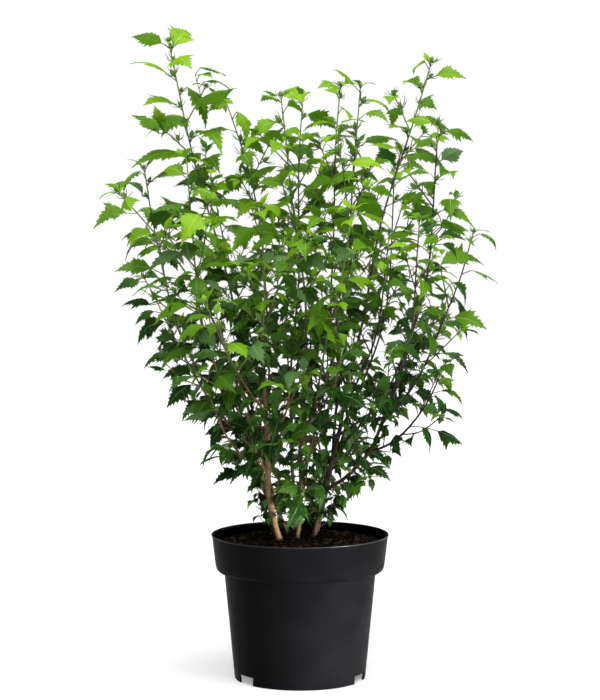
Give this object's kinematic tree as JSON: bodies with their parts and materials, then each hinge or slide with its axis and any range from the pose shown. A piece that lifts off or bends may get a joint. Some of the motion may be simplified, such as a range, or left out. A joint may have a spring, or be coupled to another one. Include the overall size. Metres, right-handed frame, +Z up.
{
  "type": "potted hibiscus shrub",
  "caption": "Young upright hibiscus shrub with leafy shoots on several woody stems, growing in a round black nursery pot filled with soil.",
  "frame": {"origin": "on the ground under the middle of the pot", "axes": "+Z up along the pot's axis, -Y to the front of the shrub, +X to its right"},
  "size_m": [0.5188, 0.4542, 0.8328],
  "materials": {
    "pot_plastic": "satin black moulded plastic",
    "soil": "moist dark peat",
    "bark": "young ridged bark",
    "green_wood": "smooth green young wood",
    "foliage": "slightly glossy leaves on thin green twigs"
  },
  "bodies": {
    "root": {"pot": "pot_plastic", "soil": "soil", "stem_front": "bark", "stem_left": "bark", "stem_left_back": "bark", "stem_middle": "bark", "stem_right": "bark", "stem_back_left": "bark", "stem_back_right": "bark", "bough_right_fork": "green_wood", "bough_left_tall": "green_wood", "bough_left_far": "green_wood", "bough_front_right": "green_wood", "bough_middle_high": "green_wood", "bough_right_tall": "green_wood", "bough_right_upper": "green_wood", "bough_back_high": "green_wood", "bough_back_right_high": "green_wood", "foliage_left_tall": "foliage", "foliage_left_back_high": "foliage", "foliage_left_upper": "foliage", "foliage_left_back_low": "foliage", "foliage_left_far": "foliage", "foliage_left_front_high": "foliage", "foliage_left_side": "foliage", "foliage_left_low": "foliage", "foliage_front_right": "foliage", "foliage_front_high": "foliage", "foliage_front_left": "foliage", "foliage_front_low": "foliage", "foliage_middle_high": "foliage", "foliage_middle_right": "foliage", "foliage_middle_front": "foliage", "foliage_middle_low": "foliage", "foliage_right_tall": "foliage", "foliage_right_middle": "foliage", "foliage_right_inner": "foliage", "foliage_right_side": "foliage", "foliage_right_upper": "foliage", "foliage_right_far": "foliage", "foliage_right_front": "foliage", "foliage_right_low": "foliage", "foliage_back_high": "foliage", "foliage_back_left_high": "foliage", "foliage_back_middle": "foliage", "foliage_back_left_low": "foliage", "foliage_back_right_high": "foliage", "foliage_back_right": "foliage", "foliage_back_right_side": "foliage", "foliage_back_right_low": "foliage", "foliage_left_inner": "foliage", "foliage_middle_inner": "foliage", "foliage_back_inner": "foliage", "foliage_low_left": "foliage", "foliage_low_front_left": "foliage", "foliage_low_front": "foliage", "foliage_low_right": "foliage", "foliage_low_right_back": "foliage", "foliage_low_back_left": "foliage", "foliage_low_back_right": "foliage"}
  },
  "joints": []
}
